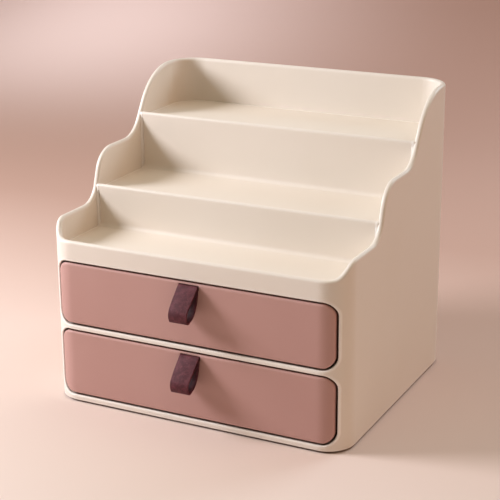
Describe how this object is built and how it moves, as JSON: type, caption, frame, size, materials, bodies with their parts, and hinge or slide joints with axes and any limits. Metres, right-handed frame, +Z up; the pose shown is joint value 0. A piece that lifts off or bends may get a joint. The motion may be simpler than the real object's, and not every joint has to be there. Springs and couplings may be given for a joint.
{
  "type": "tabletop cosmetics organiser with drawers",
  "caption": "Tabletop cosmetics organiser: rounded ivory case with a stepped open top and ogee side rims over rose drawers that slide forward on leather loop pulls.",
  "frame": {"origin": "on the resting plane under the feet, at the middle of the whole object's width and depth, loops included", "axes": "+Z up, +X to the right seen from the front, -Y towards the front where the drawers come out"},
  "size_m": [0.28, 0.2642, 0.2655],
  "materials": {
    "ivory_plastic": "satin moulded surface, softly rounded rims",
    "tray_plastic": "fine matt moulded surface",
    "runner_plastic": "smooth low-friction moulded surface",
    "rose_plastic": "matt, soft-touch",
    "plum_leather": "fine-grained, semi-matt, cut edges",
    "clamp_steel": "zinc-plated sheet",
    "screw_steel": "zinc-plated",
    "foot_rubber": "matt, translucent-looking elastomer"
  },
  "bodies": {
    "housing": {"housing_shell": "ivory_plastic", "stepped_tray_deck": "ivory_plastic", "drawer_shelf": "ivory_plastic", "base_plate": "ivory_plastic", "upper_left_runner": "runner_plastic", "upper_right_runner": "runner_plastic", "lower_left_runner": "runner_plastic", "lower_right_runner": "runner_plastic", "base_screws": "screw_steel", "shelf_screws": "screw_steel", "front_left_foot": "foot_rubber", "front_right_foot": "foot_rubber", "rear_left_foot": "foot_rubber", "rear_right_foot": "foot_rubber"},
    "upper_drawer": {"upper_drawer_front": "rose_plastic", "upper_drawer_tray": "tray_plastic", "upper_front_screws": "screw_steel", "upper_strap_tail": "plum_leather", "upper_strap_clamp": "clamp_steel", "upper_clamp_screws": "screw_steel"},
    "lower_drawer": {"lower_drawer_front": "rose_plastic", "lower_drawer_tray": "tray_plastic", "lower_front_screws": "screw_steel", "lower_strap_tail": "plum_leather", "lower_strap_clamp": "clamp_steel", "lower_clamp_screws": "screw_steel"},
    "upper_pull": {"upper_pull_loop": "plum_leather"},
    "lower_pull": {"lower_pull_loop": "plum_leather"}
  },
  "joints": [
    {"name": "upper_drawer_slide", "type": "slide", "parent": "housing", "child": "upper_drawer", "axis": [0, -1, 0], "range_m": [0, 0.15]},
    {"name": "lower_drawer_slide", "type": "slide", "parent": "housing", "child": "lower_drawer", "axis": [0, -1, 0], "range_m": [0, 0.15]},
    {"name": "upper_pull_swing", "type": "hinge", "parent": "upper_drawer", "child": "upper_pull", "pos_m": [0, -0.1126, 0.1257], "axis": [-1, 0, 0], "range_deg": [0, 60]},
    {"name": "lower_pull_swing", "type": "hinge", "parent": "lower_drawer", "child": "lower_pull", "pos_m": [0, -0.1126, 0.0632], "axis": [-1, 0, 0], "range_deg": [0, 60]}
  ]
}
